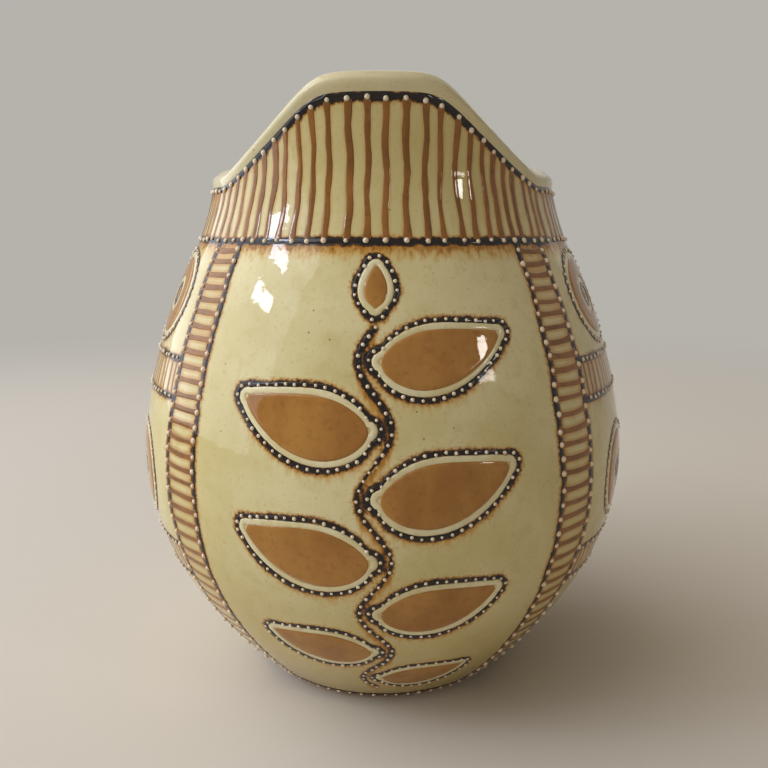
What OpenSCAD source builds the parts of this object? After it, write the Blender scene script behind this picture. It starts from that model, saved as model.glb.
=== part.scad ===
// Slip-trailed earthenware pouring jug: a thrown body, a striped collar that rises at the front
// to a pouring crest, a rolled rim, a strap handle at the back and raised slip over the outside.
// The front faces -Y, the handle is at +Y, and the base stands on Z = 0 with its centre at the origin.

/* [Body] */
// Diameter of the flat base
base_d = 92; // [80:1:110]
// Diameter at the widest part of the belly
belly_d = 181; // [165:1:200]
// Height of the widest part of the belly
belly_h = 86; // [76:1:96]
// Height from the belly up to the foot of the collar
shoulder_rise = 77; // [68:1:86]
// Wall thickness of the body
body_wall = 5.5; // [4:0.5:8]
// Thickness of the floor inside the base
floor_t = 7; // [5:0.5:10]

/* [Collar and rim] */
// Diameter at the foot of the collar
foot_d = 135.4; // [126:0.2:146]
// Diameter at the narrow waist of the collar
waist_d = 123.6; // [114:0.2:130]
// Height of the collar at the sides and back
collar_h = 23.7; // [20:0.1:32]
// Height of the pouring crest above the sides
crest_rise = 25.6; // [14:0.1:34]
// How far the crest leans out beyond the waist
crest_lean = 4; // [0:0.5:8]
// Half of the level top of the crest, in degrees round the collar
crest_half_angle = 17.2; // [10:0.2:28]
// Where the slopes of the crest reach the sides, in degrees round the collar
slope_end_angle = 58; // [44:1:75]
// Wall thickness of the collar
collar_wall = 5.5; // [4:0.5:8]
// Thickness of the rolled rim, through the wall
rim_t = 7; // [5.5:0.5:9]
// Height of the rolled rim
rim_h = 6; // [4:0.1:7.5]

/* [Handle] */
// Drop of the upper joint below the level rim
handle_drop = 14.2; // [13.6:0.1:16]
// Height from the lower joint to the upper joint
handle_span = 76; // [64:1:84]
// How far the loop reaches out from the upper joint
handle_reach = 58; // [46:1:70]
// How far the loop rises above the upper joint before it turns down
handle_lift = 20; // [8:1:28]
// Width of the strap at the upper joint
strap_w = 30; // [22:1:36]
// Width of the strap at the lower joint
tail_w = 21; // [16:1:28]
// Thickness of the strap
strap_t = 11.5; // [8:0.5:14]
// Depth of the thumb groove along the back of the strap
groove_d = 1.4; // [0:0.1:2.5]

/* [Trailed slip] */
// Height that trailed slip stands above the clay
relief = 0.7; // [0.4:0.1:1.2]
// Width of a dark trailed line
line_w = 1.8; // [1.4:0.1:2.6]
// Width of the dark line under the crest of the rim, from where it narrows to a plain line
rim_line_w = 2.9; // [1.8:0.1:3.6]
// Width of a pale halo line
halo_w = 1.6; // [1:0.1:2.4]
// Bare clay left between neighbouring slip pieces
slip_gap = 0.3; // [0.2:0.05:0.8]
// Width of a collar stripe
stripe_w = 2; // [1.4:0.1:2.6]
// Number of collar stripes in a full turn
stripe_count = 88; // [64:2:96]
// Extra angle over which the stripes at the front are spread
stripe_spread_angle = 7; // [0:0.5:12]

/* [Ladder bands] */
// Azimuth of a front band's middle, in degrees from the front
ladder_azimuth = 45; // [42:0.2:48]
// Half of the angle between the two rails of a band
ladder_half_angle = 5; // [4.4:0.1:6]
// Width of a rail
rail_w = 1.8; // [1.2:0.1:2.6]
// Width of a rung
rung_w = 1.9; // [1.2:0.1:2.8]
// Number of rungs in a band
rung_count = 36; // [24:1:40]

/* [Side panels] */
// Outer diameter of a roundel
roundel_d = 35.5; // [32:0.5:40]
// Azimuth of the front roundels, in degrees from the front
roundel_azimuth = 69.3; // [68:0.1:71]
// Width of a roundel's tan ring
roundel_band_w = 7; // [4:0.5:8]
// Height of a hatched cross band, measured up the wall
hatch_h = 14.5; // [10:0.5:18]
// Width of a hatch bar
hatch_bar_w = 1.3; // [0.9:0.1:2.2]
// Spacing of the hatch bars, in degrees
hatch_step_angle = 2.5; // [2.3:0.1:4]
// Bare wall above and below an upper roundel
roundel_gap = 2; // [0.6:0.1:3]
// Bare wall between the upper cross band and the lower roundels
panel_gap = 11; // [6:0.5:14]
// Bare wall between the lower roundels and the lower cross band
lower_gap = 3.6; // [1:0.1:6]

/* [Leaf trail] */
// Number of side leaves on the front stem
leaf_count = 7; // [3:1:7]
// Distance up the wall to the lowest leaf
leaf_start = 24; // [22:1:28]
// Bare wall between the stem and the leaf outlines
leaf_gap = 2; // [0.6:0.1:3]
// Bare wall between the bud and the foot of the collar
trail_margin = 3; // [1:0.5:6]
// Swing of the stem to each side
stem_swing = 5; // [0:0.5:8]
// Length of the bud at the top of the stem
bud_l = 13; // [8:0.5:15]
// Length of a leaf in the back panel
back_leaf_l = 34; // [24:1:38]

/* [Hidden] */
$fn = 96;
base_r = base_d/2;
belly_r = belly_d/2;
foot_r = foot_d/2;
waist_r = waist_d/2;
foot_h = belly_h + shoulder_rise;
side_h = foot_h + collar_h;
crest_h = side_h + crest_rise;

// Clay or slip that is luted on stands this far off what carries it
seat = 0.12;
// The rim stands this far off the cut edge of the collar
rim_seat = 0.15;
// Step of the slope that is read off the profile
slope_step = 0.01;
// How far a cut runs past what it cuts
overrun = 20;
// How far the collar's cut reaches past its wall
cut_margin = 1;

// Powers that give the curves of the profile and of the crest's slopes
lower_power = 2.05;
upper_power = 1.75;
neck_power = 1.6;
lean_power = 2;
slope_power = 1.38;
// Share of the crest's rise over which its corners are rounded
corner_share = 0.088;

// Steps of the curves
body_steps = 40;
wall_steps = 60;
turn_steps = 96;
rim_sides = 9;
deg = 180/PI;

clay = "#d9cf9f";
tan_slip = "#a8692c";
dark_slip = "#21160d";
pale_slip = "#e9deb6";

// Profile of the outside, as a radius at a height
function lower_r(z) = belly_r - (belly_r - base_r)*pow((belly_h - z)/belly_h, lower_power);
function upper_r(z) = belly_r - (belly_r - foot_r)*pow((z - belly_h)/shoulder_rise, upper_power);
function neck_r(z) = waist_r + (foot_r - waist_r)*pow((side_h - z)/collar_h, neck_power);
function crest_r(z) = waist_r + crest_lean*pow((z - side_h)/crest_rise, lean_power);
function skin_r(z) =
    z <= belly_h ? lower_r(z) : z <= foot_h ? upper_r(z) : z <= side_h ? neck_r(z) : crest_r(z);
function slope(z) = (skin_r(z) - skin_r(z - slope_step))/slope_step;
function slant(z) = norm([1, slope(z)]);
function inner_r(z) = skin_r(z) - body_wall*slant(z);

// Height of the rim's top at an azimuth from the front
function crest_share(a) =
    let (t = max(slope_end_angle - abs(a), 0)/(slope_end_angle - crest_half_angle), s = pow(t, slope_power))
    s - corner_share*ln(1 + exp((s - 1)/corner_share));
function rim_z(a) = side_h + crest_rise*crest_share(a);
function turn_angle(i) = 360*i/turn_steps - 180;

// A point on the outside wall, raised by h
function on_wall(a, z, h) = let (r = skin_r(z) + h) [r*sin(a), -r*cos(a), z];

// Distance up the wall from the base, and the height it reaches
wall_z = [for (i = [0:wall_steps]) foot_h*i/wall_steps];
function wall_step(i) = norm([skin_r(wall_z[i]) - skin_r(wall_z[i - 1]), wall_z[i] - wall_z[i - 1]]);
function climb(i) = i == 0 ? 0 : climb(i - 1) + wall_step(i);
wall_table = [for (i = [0:wall_steps]) [climb(i), wall_z[i]]];
wall_l = climb(wall_steps);
function wall_height(v) = lookup(v, wall_table);

// A flat pattern point, in distance round and up the wall, laid on the wall about an azimuth
function laid(p, azimuth, h) =
    let (z = wall_height(p[1])) on_wall(azimuth + p[0]/skin_r(z)*deg, z, h);

// Triangles between rings of m points: a closed hoop of n rings, or a stack closed at both ends
function joined(i, k, m) = concat(
    [for (j = [0:m - 1]) [i*m + j, k*m + (j + 1)%m, i*m + (j + 1)%m]],
    [for (j = [0:m - 1]) [i*m + j, k*m + j, k*m + (j + 1)%m]]);
function flat(lists) = [for (l = lists) for (e = l) e];
function hoop_faces(n, m) = flat([for (i = [0:n - 1]) joined(i, (i + 1)%n, m)]);
function stack_faces(n, m) = concat(
    flat([for (i = [0:n - 2]) joined(i, i + 1, m)]),
    [for (j = [1:m - 2]) [0, j, j + 1]],
    [for (j = [1:m - 2]) [(n - 1)*m, (n - 1)*m + j + 1, (n - 1)*m + j]]);
module hoop(rings) polyhedron(flat(rings), hoop_faces(len(rings), len(rings[0])));
module stack(rings) polyhedron(flat(rings), stack_faces(len(rings), len(rings[0])));

// Slip laid on the wall as a strip of the profile between two azimuths and two heights
module wall_strip(a0, a1, z0, z1, steps) {
    heights = [for (i = [0:steps]) z0 + (z1 - z0)*i/steps];
    rotate([0, 0, a0 - 90])
    rotate_extrude(angle = a1 - a0)
    polygon(concat(
        [for (z = heights) [skin_r(z) + seat, z]],
        [for (i = [steps:-1:0]) [skin_r(heights[i]) + seat + relief, heights[i]]]));
}

// A closed flat outline moved outwards by a distance
function outward(loop, i) =
    let (n = len(loop), d = loop[(i + 1)%n] - loop[(i + n - 1)%n]) [d[1], -d[0]]/norm(d);
function grown(loop, distance) = [for (i = [0:len(loop) - 1]) loop[i] + distance*outward(loop, i)];

// A closed trailed line on the wall between two distances from a flat outline
module trailed_loop(loop, inside, outside, azimuth) {
    near = grown(loop, inside);
    far = grown(loop, outside);
    hoop([for (i = [0:len(loop) - 1]) [
        laid(near[i], azimuth, seat), laid(far[i], azimuth, seat),
        laid(far[i], azimuth, seat + relief), laid(near[i], azimuth, seat + relief)]]);
}

// An open patch of slip between a left and a right edge
module trailed_patch(left, right, steps, azimuth) {
    across = [for (j = [0:steps]) j/steps];
    stack([for (i = [0:len(left) - 1]) concat(
        [for (t = across) laid(left[i] + t*(right[i] - left[i]), azimuth, seat)],
        [for (t = across) laid(right[i] + t*(left[i] - right[i]), azimuth, seat + relief)])]);
}

// The thrown body
module body() {
    outer = [for (i = [0:body_steps]) let (z = foot_h*i/body_steps) [skin_r(z), z]];
    inner = [for (i = [body_steps:-1:0])
        let (z = floor_t + (foot_h - floor_t)*i/body_steps) [inner_r(z), z]];
    color(clay)
    rotate_extrude()
    polygon(concat([[0, 0]], outer, inner, [[0, floor_t]]));
}

// The collar, cut along its top to the line of the crest
collar_steps = 14;
function collar_cut(a) = rim_z(a) - rim_h - rim_seat;
module collar() {
    foot = foot_h + seat;
    heights = [for (i = [0:collar_steps]) foot + (crest_h - foot)*i/collar_steps];
    color(clay)
    difference() {
        rotate_extrude()
        polygon(concat(
            [for (z = heights) [skin_r(z), z]],
            [for (i = [collar_steps:-1:0]) [skin_r(heights[i]) - collar_wall, heights[i]]]));
        hoop([for (i = [0:turn_steps - 1])
            let (a = turn_angle(i), low = collar_cut(a), top = crest_h + overrun, r = skin_r(low))
            let (near = r - rim_t - cut_margin, far = r + cut_margin)
            [for (p = [[near, low], [near - overrun, top], [far + overrun, top], [far, low]])
                [p[0]*sin(a), -p[0]*cos(a), p[1]]]]);
    }
}

// The rolled rim: a round-topped strip that leans with the collar
rim_round_share = 0.7;
function rim_point(a, i) =
    let (t = 180*i/rim_sides, z = rim_z(a) - rim_h + rim_h*pow(sin(t), rim_round_share))
    let (r = skin_r(z) - rim_t*(1 - cos(t))/2) [r*sin(a), -r*cos(a), z];
module rim()
    color(clay)
    hoop([for (i = [0:turn_steps - 1]) [for (j = [rim_sides:-1:0]) rim_point(turn_angle(i), j)]]);

// The strap handle: a cubic curve from the collar down to the belly, with a grooved oval section
handle_rings = 36;
handle_sides = 18;
handle_caps = 4;
handle_tail_reach_share = 0.9;
handle_tail_rise_share = 0.5;
flare_share = 0.28;
flare_length_share = 0.07;
thumb_groove_power = 6;
handle_top_h = side_h - handle_drop;
handle_low_h = handle_top_h - handle_span;
handle_path = [
    [skin_r(handle_top_h), handle_top_h],
    [skin_r(handle_top_h) + handle_reach, handle_top_h + handle_lift],
    [skin_r(handle_low_h) + handle_reach*handle_tail_reach_share,
        handle_low_h + handle_span*handle_tail_rise_share],
    [skin_r(handle_low_h), handle_low_h]
];
function bezier(p, t) =
    p[0]*pow(1 - t, 3) + 3*p[1]*t*pow(1 - t, 2) + 3*p[2]*t*t*(1 - t) + p[3]*pow(t, 3);
function bezier_way(p, t) =
    let (d = (p[1] - p[0])*pow(1 - t, 2) + 2*(p[2] - p[1])*t*(1 - t) + (p[3] - p[2])*t*t) d/norm(d);
function flare(t) = 1 + flare_share*(exp(-t/flare_length_share) + exp((t - 1)/flare_length_share));
function strap_point(t, f) =
    let (w = (strap_w + (tail_w - strap_w)*t)*flare(t), c = cos(f), s = sin(f))
    let (groove = s > 0 ? groove_d*pow(s, thumb_groove_power) : 0)
    [c*w/2, s*strap_t*flare(t)/2 - groove];
function handle_ring(t) =
    let (p = bezier(handle_path, t), d = bezier_way(handle_path, t))
    [for (j = [0:handle_sides - 1])
        let (q = strap_point(t, 360*j/handle_sides))
        [q[0], p[0] - d[1]*q[1], p[1] + d[0]*q[1]]];
function handle_end(t, share) =
    let (p = bezier(handle_path, t), d = bezier_way(handle_path, t))
    [for (j = [0:handle_sides - 1])
        let (q = share*strap_point(t, 360*j/handle_sides), z = p[1] + d[0]*q[1], r = skin_r(z) + seat)
        [q[0], sqrt(r*r - q[0]*q[0]), z]];
end_shares = [for (i = [1:handle_caps]) i/handle_caps];
module handle()
    color(clay)
    stack(concat(
        [for (share = end_shares) handle_end(0, share)],
        [for (i = [1:handle_rings - 1]) handle_ring(i/handle_rings)],
        [for (i = [handle_caps - 1:-1:0]) handle_end(1, end_shares[i])]));

// Dark line under the rim, which stops at each side of the handle's joint
handle_half_angle = (strap_w*(1 + flare_share)/2 + stripe_w)/waist_r*deg;
function rim_line_top(a) = collar_cut(a) - slip_gap;
function rim_line_low(a) = rim_line_top(a) - line_w - (rim_line_w - line_w)*crest_share(a);
module rim_line()
    color(dark_slip)
    stack([for (i = [0:turn_steps])
        let (a = (180 - handle_half_angle)*(2*i/turn_steps - 1))
        let (top = rim_line_top(a), low = rim_line_low(a))
        [on_wall(a, low, seat + relief), on_wall(a, low, seat), on_wall(a, top, seat),
            on_wall(a, top, seat + relief)]]);

// Dark line over the joint of collar and body
line_steps = 2;
foot_line_low = foot_h - line_w/2;
foot_line_top = foot_h + line_w/2;
module collar_foot_line()
    color(dark_slip)
    wall_strip(0, 360, foot_line_low, foot_line_top, line_steps);

// Dark line round the foot of the body
base_line_low = line_w;
base_line_top = base_line_low + line_w;
module base_line()
    color(dark_slip)
    wall_strip(0, 360, base_line_low, base_line_top, line_steps);

// Tan stripes of the collar, wider apart at the front and left out where the handle is joined on
stripe_steps = 8;
stripe_spread_share = 0.1;
stripe_half_angle = stripe_w/waist_r*deg/2;
function stripe_top(a) =
    min(rim_line_low(a - stripe_half_angle), rim_line_low(a + stripe_half_angle)) - slip_gap;
function stripe_azimuth(i) =
    let (s = 2*(i + 0.5)/stripe_count - 1)
    (180 - stripe_spread_angle)*s + stripe_spread_angle*s/norm([s, stripe_spread_share]);
module collar_stripes()
    color(tan_slip)
    for (i = [0:stripe_count - 1]) {
        a = stripe_azimuth(i);
        if (180 - abs(a) > handle_half_angle)
            wall_strip(a - stripe_half_angle, a + stripe_half_angle,
                foot_line_top + slip_gap, stripe_top(a), stripe_steps);
    }

// A ladder band: two dark rails, and tan rungs between them that crowd a little towards the top
rail_steps = 36;
rung_steps = 1;
rung_margin_share = 0.5;
rung_crowd_share = 0.13;
function gap_angle(length, z) = length/skin_r(z)*deg;
rail_low = base_line_top + slip_gap;
rail_top = foot_line_low - slip_gap;
rail_half_angle = gap_angle(rail_w, belly_h)/2;
module ladder_rails(azimuth)
    color(dark_slip)
    for (side = [-1, 1]) {
        a = azimuth + side*ladder_half_angle;
        wall_strip(a - rail_half_angle, a + rail_half_angle, rail_low, rail_top, rail_steps);
    }
ladder_bottom = lookup(rail_low, [for (p = wall_table) [p[1], p[0]]]);
ladder_l = wall_l - line_w/2 - slip_gap - ladder_bottom;
function rung_share(i) =
    let (t = (i + rung_margin_share)/rung_count) t + rung_crowd_share*t*(1 - t);
module ladder_rungs(azimuth)
    color(tan_slip)
    for (i = [0:rung_count - 1]) {
        v = ladder_bottom + ladder_l*rung_share(i);
        z0 = wall_height(v - rung_w/2);
        z1 = wall_height(v + rung_w/2);
        half = ladder_half_angle - rail_half_angle - gap_angle(slip_gap, z0);
        wall_strip(azimuth - half, azimuth + half, z0, z1, rung_steps);
    }

// A leaf on the wall: its middle line bends as it runs out, and it narrows to both ends
leaf_steps = 11;
leaf_cross_steps = 3;
leaf_width_share = 0.5;
leaf_end_share = 0.1;
leaf_fullness_share = 0.8;
function leaf_swell(t) = pow(sin(180*pow(t, leaf_fullness_share)), leaf_fullness_share);
function leaf_half(t, width) = width/2*(leaf_end_share + (1 - leaf_end_share)*leaf_swell(t));
function leaf_middle(leaf, t) =
    let (d = [cos(leaf[1]), sin(leaf[1])], n = [-d[1], d[0]]) leaf[0] + leaf[2]*(t*d + leaf[3]*t*t*n);
function leaf_way(leaf, t) =
    let (d = [cos(leaf[1]), sin(leaf[1])], n = [-d[1], d[0]], w = d + 2*leaf[3]*t*n) w/norm(w);
function leaf_edge(leaf, side) =
    [for (i = [0:leaf_steps])
        let (t = (1 - cos(180*i/leaf_steps))/2, w = leaf_way(leaf, t))
        leaf_middle(leaf, t) + side*leaf_half(t, leaf[2]*leaf_width_share)*[-w[1], w[0]]];
function backwards(list) = [for (i = [len(list) - 1:-1:0]) list[i]];
function leaf_loop(leaf) = concat(leaf_edge(leaf, -1), backwards(leaf_edge(leaf, 1)));
halo_inside = slip_gap;
halo_outside = halo_inside + halo_w;
outline_inside = halo_outside + slip_gap;
outline_outside = outline_inside + line_w;
module leaf_fill(leaf, azimuth)
    trailed_patch(leaf_edge(leaf, 1), leaf_edge(leaf, -1), leaf_cross_steps, azimuth);
module leaf_halo(leaf, azimuth)
    trailed_loop(leaf_loop(leaf), halo_inside, halo_outside, azimuth);
module leaf_outline(leaf, azimuth)
    trailed_loop(leaf_loop(leaf), outline_inside, outline_outside, azimuth);

// The front panel: a winding stem with leaves to both sides in turn and a bud on top
// Each leaf holds its start, its direction, its length and its bend
leaf_reach_share = 0.6;
leaf_bend_share = 0.32;
leaf_droop_angle = 6;
stem_low_share = 0.6;
bud_rank_share = 0.5;
stem_steps = 40;
stem_half = line_w/2;
stem_top = wall_l - line_w/2 - trail_margin - bud_l - 2*outline_outside - leaf_gap;
leaf_pitch = (stem_top - leaf_start)/(leaf_count - bud_rank_share);
function leaf_rank(v) = (v - leaf_start)/leaf_pitch;
function stem_u(v) = -stem_swing*cos(180*leaf_rank(v));
function panel_half(v) =
    let (z = wall_height(v)) (ladder_azimuth - ladder_half_angle)/deg*skin_r(z);
function mirrored(leaf, side) =
    [[side*leaf[0][0], leaf[0][1]], side > 0 ? leaf[1] : 180 - leaf[1], leaf[2], side*leaf[3]];
front_leaves = concat(
    [for (i = [0:leaf_count - 1])
        let (v = leaf_start + leaf_pitch*i, side = i%2 == 0 ? 1 : -1)
        let (start = side*stem_u(v) + stem_half + outline_outside + leaf_gap)
        mirrored([[start, v], -leaf_droop_angle, leaf_reach_share*panel_half(v), leaf_bend_share], side)],
    [[[stem_u(stem_top), stem_top + outline_outside + leaf_gap], 90, bud_l, 0]]);
module front_stem() {
    low = leaf_start*stem_low_share;
    path = [for (i = [0:stem_steps]) let (v = low + (stem_top - low)*i/stem_steps) [stem_u(v), v]];
    color(dark_slip)
    trailed_patch([for (p = path) p - [stem_half, 0]], [for (p = path) p + [stem_half, 0]], 1, 0);
}
module front_leaf_fills() color(tan_slip) for (l = front_leaves) leaf_fill(l, 0);
module front_leaf_halos() color(pale_slip) for (l = front_leaves) leaf_halo(l, 0);
module front_leaf_outlines() color(dark_slip) for (l = front_leaves) leaf_outline(l, 0);

// The back panel: three leaves up each side of the handle
back_azimuth = 180;
back_leaf_angle = 38;
back_leaf_start_shares = [0.2, 0.42, 0.64];
back_leaf_inset = tail_w/2 + outline_outside + line_w;
back_leaves = [for (share = back_leaf_start_shares) for (side = [-1, 1])
    mirrored([[back_leaf_inset, share*wall_l], back_leaf_angle, back_leaf_l, leaf_bend_share], side)];
module back_leaf_fills() color(tan_slip) for (l = back_leaves) leaf_fill(l, back_azimuth);
module back_leaf_halos() color(pale_slip) for (l = back_leaves) leaf_halo(l, back_azimuth);
module back_leaf_outlines() color(dark_slip) for (l = back_leaves) leaf_outline(l, back_azimuth);

// The side panels, stacked down the wall from the collar: roundels, cross band, roundels, cross band
roundel_r = roundel_d/2;
upper_roundel_v = wall_l - line_w/2 - roundel_gap - roundel_r;
upper_hatch_v = upper_roundel_v - roundel_r - roundel_gap;
lower_roundel_v = upper_hatch_v - hatch_h - panel_gap - roundel_r;
lower_hatch_v = lower_roundel_v - roundel_r - lower_gap;

// A roundel is a set of rings cut square out of a patch of the wall
patch_steps = 10;
eye_share = 0.3;
roundel_halo_out = roundel_r - line_w - slip_gap;
roundel_band_out = roundel_halo_out - halo_w - slip_gap;
roundel_band_in = roundel_band_out - roundel_band_w;
eye_halo_in = roundel_band_in - slip_gap - halo_w;
eye_line_out = eye_halo_in - slip_gap;
eye_r = eye_share*eye_line_out;
eye_line_in = eye_r + (eye_line_out - eye_r)/2;
module roundel_patch(azimuth, v) {
    reach = roundel_r + slip_gap;
    z0 = wall_height(v - reach);
    z1 = wall_height(min(v + reach, wall_l));
    half = reach/min(skin_r(z0), skin_r(z1))*deg;
    wall_strip(azimuth - half, azimuth + half, z0, z1, patch_steps);
}
module roundel_ring(azimuth, v, outside, inside) {
    z = wall_height(v);
    centre = on_wall(azimuth, z, 0);
    intersection() {
        roundel_patch(azimuth, v);
        translate(centre)
        rotate([0, 0, azimuth])
        rotate([90 + atan(slope(z)), 0, 0])
        translate([0, 0, -overrun/2])
        difference() {
            cylinder(r = outside, h = overrun);
            if (inside > 0)
                translate([0, 0, -overrun/2]) cylinder(r = inside, h = overrun*2);
        }
    }
}
module each_roundel(side)
    for (azimuth = [roundel_azimuth, 180 - roundel_azimuth])
        for ($v = [upper_roundel_v, lower_roundel_v]) {
            $azimuth = side*azimuth;
            children();
        }
module roundel_rings(side) color(tan_slip) each_roundel(side) {
    roundel_ring($azimuth, $v, roundel_band_out, roundel_band_in);
    roundel_ring($azimuth, $v, eye_r, 0);
}
module roundel_halos(side) color(pale_slip) each_roundel(side) {
    roundel_ring($azimuth, $v, roundel_halo_out, roundel_band_out + slip_gap);
    roundel_ring($azimuth, $v, roundel_band_in - slip_gap, eye_halo_in);
}
module roundel_lines(side) color(dark_slip) each_roundel(side) {
    roundel_ring($azimuth, $v, roundel_r, roundel_halo_out + slip_gap);
    roundel_ring($azimuth, $v, eye_line_out, eye_line_in);
}

// A hatched cross band: upright tan bars between two dark lines
bar_steps = 4;
hatch_half_angle =
    90 - ladder_azimuth - ladder_half_angle - rail_half_angle - gap_angle(slip_gap, rail_low);
module hatch_lines(side)
    color(dark_slip)
    for (v = [upper_hatch_v, lower_hatch_v])
        for (top = [v, v - hatch_h + line_w]) {
            wall_strip(side*90 - hatch_half_angle, side*90 + hatch_half_angle,
                wall_height(top - line_w), wall_height(top), line_steps);
        }
module hatch_bars(side)
    color(tan_slip)
    for (v = [upper_hatch_v, lower_hatch_v]) {
        z0 = wall_height(v - hatch_h + line_w + slip_gap);
        z1 = wall_height(v - line_w - slip_gap);
        half_bar = gap_angle(hatch_bar_w, belly_h)/2;
        bars = floor((hatch_half_angle - half_bar)/hatch_step_angle);
        for (i = [-bars:bars]) {
            a = side*90 + i*hatch_step_angle;
            wall_strip(a - half_bar, a + half_bar, z0, z1, bar_steps);
        }
    }

body();
collar();
rim();
handle();
rim_line();
collar_stripes();
collar_foot_line();
base_line();
ladder_rails(-ladder_azimuth);  // ladder_rails_front_left
ladder_rungs(-ladder_azimuth);  // ladder_rungs_front_left
ladder_rails(ladder_azimuth);  // ladder_rails_front_right
ladder_rungs(ladder_azimuth);  // ladder_rungs_front_right
ladder_rails(ladder_azimuth - 180);  // ladder_rails_back_left
ladder_rungs(ladder_azimuth - 180);  // ladder_rungs_back_left
ladder_rails(180 - ladder_azimuth);  // ladder_rails_back_right
ladder_rungs(180 - ladder_azimuth);  // ladder_rungs_back_right
front_stem();
front_leaf_fills();
front_leaf_halos();
front_leaf_outlines();
back_leaf_fills();
back_leaf_halos();
back_leaf_outlines();
roundel_rings(-1);  // left_roundel_rings
roundel_halos(-1);  // left_roundel_halos
roundel_lines(-1);  // left_roundel_lines
roundel_rings(1);  // right_roundel_rings
roundel_halos(1);  // right_roundel_halos
roundel_lines(1);  // right_roundel_lines
hatch_bars(-1);  // left_hatch_bars
hatch_lines(-1);  // left_hatch_lines
hatch_bars(1);  // right_hatch_bars
hatch_lines(1);  // right_hatch_lines
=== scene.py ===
"""Looks of a slip-trailed earthenware pouring jug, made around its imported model."""
import bisect
import math
import random

import bpy
import numpy
from mathutils import Matrix, Vector, noise


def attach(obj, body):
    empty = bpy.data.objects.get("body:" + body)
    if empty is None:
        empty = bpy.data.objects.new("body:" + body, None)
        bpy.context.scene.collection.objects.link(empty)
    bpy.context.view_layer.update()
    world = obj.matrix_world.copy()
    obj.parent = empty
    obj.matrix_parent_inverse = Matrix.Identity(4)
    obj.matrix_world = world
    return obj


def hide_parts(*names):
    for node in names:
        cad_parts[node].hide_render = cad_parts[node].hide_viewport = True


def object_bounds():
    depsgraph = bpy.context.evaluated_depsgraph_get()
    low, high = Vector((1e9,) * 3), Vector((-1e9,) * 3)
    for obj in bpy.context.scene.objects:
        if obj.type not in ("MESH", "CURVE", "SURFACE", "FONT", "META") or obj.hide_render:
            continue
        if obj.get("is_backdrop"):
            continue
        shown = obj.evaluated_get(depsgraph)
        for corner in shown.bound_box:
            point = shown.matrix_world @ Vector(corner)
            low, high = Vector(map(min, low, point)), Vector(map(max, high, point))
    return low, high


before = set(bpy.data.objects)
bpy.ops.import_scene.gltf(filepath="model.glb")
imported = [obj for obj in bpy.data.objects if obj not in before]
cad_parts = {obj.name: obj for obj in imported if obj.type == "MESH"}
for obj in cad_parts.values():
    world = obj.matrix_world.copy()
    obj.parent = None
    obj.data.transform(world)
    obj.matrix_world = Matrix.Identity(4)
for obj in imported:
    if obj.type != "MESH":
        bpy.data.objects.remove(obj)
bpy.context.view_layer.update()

MM = 0.001
TURN = 2*math.pi
DEG = math.pi/180
hand = random.Random(41)

# The jug's measures, the same as those of its solids
BASE_R, BELLY_R, FOOT_R, WAIST_R = 46*MM, 90.5*MM, 67.7*MM, 61.8*MM
BELLY_H, FOOT_H, SIDE_H, CREST_H = 86*MM, 163*MM, 186.7*MM, 212.3*MM
CREST_LEAN = 4*MM
CREST_HALF_ANGLE, SLOPE_END_ANGLE = 17.2, 58
LOWER_POWER, UPPER_POWER, NECK_POWER, LEAN_POWER, SLOPE_POWER = 2.05, 1.75, 1.6, 2, 1.38
CORNER_SHARE = 0.088
WALL_T, FLOOR_T, COLLAR_T = 5.5*MM, 7*MM, 5.5*MM
RIM_T, RIM_H = 7*MM, 6*MM
LINE_W, RIM_LINE_W, HALO_W, SLIP_GAP = 1.8*MM, 2.9*MM, 1.6*MM, 0.3*MM
HANDLE_TOP_H, HANDLE_LOW_H, HANDLE_REACH, HANDLE_LIFT = 172.5*MM, 96.5*MM, 58*MM, 20*MM
STRAP_W, TAIL_W, STRAP_T, GROOVE_D = 30*MM, 21*MM, 11.5*MM, 1.4*MM
FLARE_SHARE, FLARE_LENGTH_SHARE = 0.28, 0.07

# How far the thrown wall is off true, always to the inside, and the height in which that sets in
DENT, DENT_SIZE, DENT_START = 0.35*MM, 45*MM, 12*MM
# Points closer than this are one point
MERGE = 0.002*MM


def lower_r(z):
    return BELLY_R - (BELLY_R - BASE_R)*((BELLY_H - z)/BELLY_H)**LOWER_POWER


def upper_r(z):
    return BELLY_R - (BELLY_R - FOOT_R)*((z - BELLY_H)/(FOOT_H - BELLY_H))**UPPER_POWER


def neck_r(z):
    return WAIST_R + (FOOT_R - WAIST_R)*((SIDE_H - z)/(SIDE_H - FOOT_H))**NECK_POWER


def crest_r(z):
    return WAIST_R + CREST_LEAN*((z - SIDE_H)/(CREST_H - SIDE_H))**LEAN_POWER


def skin_r(z):
    """Radius of the true outside at a height."""
    if z <= BELLY_H:
        return lower_r(z)
    if z <= FOOT_H:
        return upper_r(z)
    return neck_r(z) if z <= SIDE_H else crest_r(z)


def slope(z):
    """How much the outside widens for each step up."""
    step = 0.02*MM
    return (skin_r(z + step) - skin_r(z - step))/(2*step)


def wall_r(a, z):
    """Radius of the outside as it was thrown, a little off true."""
    r = skin_r(z)
    swell = noise.noise((r*math.sin(a)/DENT_SIZE, r*math.cos(a)/DENT_SIZE, z/DENT_SIZE))
    settle = min(1, z/DENT_START)
    return r - DENT*settle*(0.5 + 0.5*swell)


def on_wall(a, z, rise=0):
    """A point on the outside at an azimuth from the front, raised along the wall's normal."""
    lean = slope(z)
    slant = math.hypot(1, lean)
    r = wall_r(a, z) + rise/slant
    return Vector((r*math.sin(a), -r*math.cos(a), z - rise*lean/slant))


def azimuth(co):
    return math.atan2(co.x, -co.y)


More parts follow.
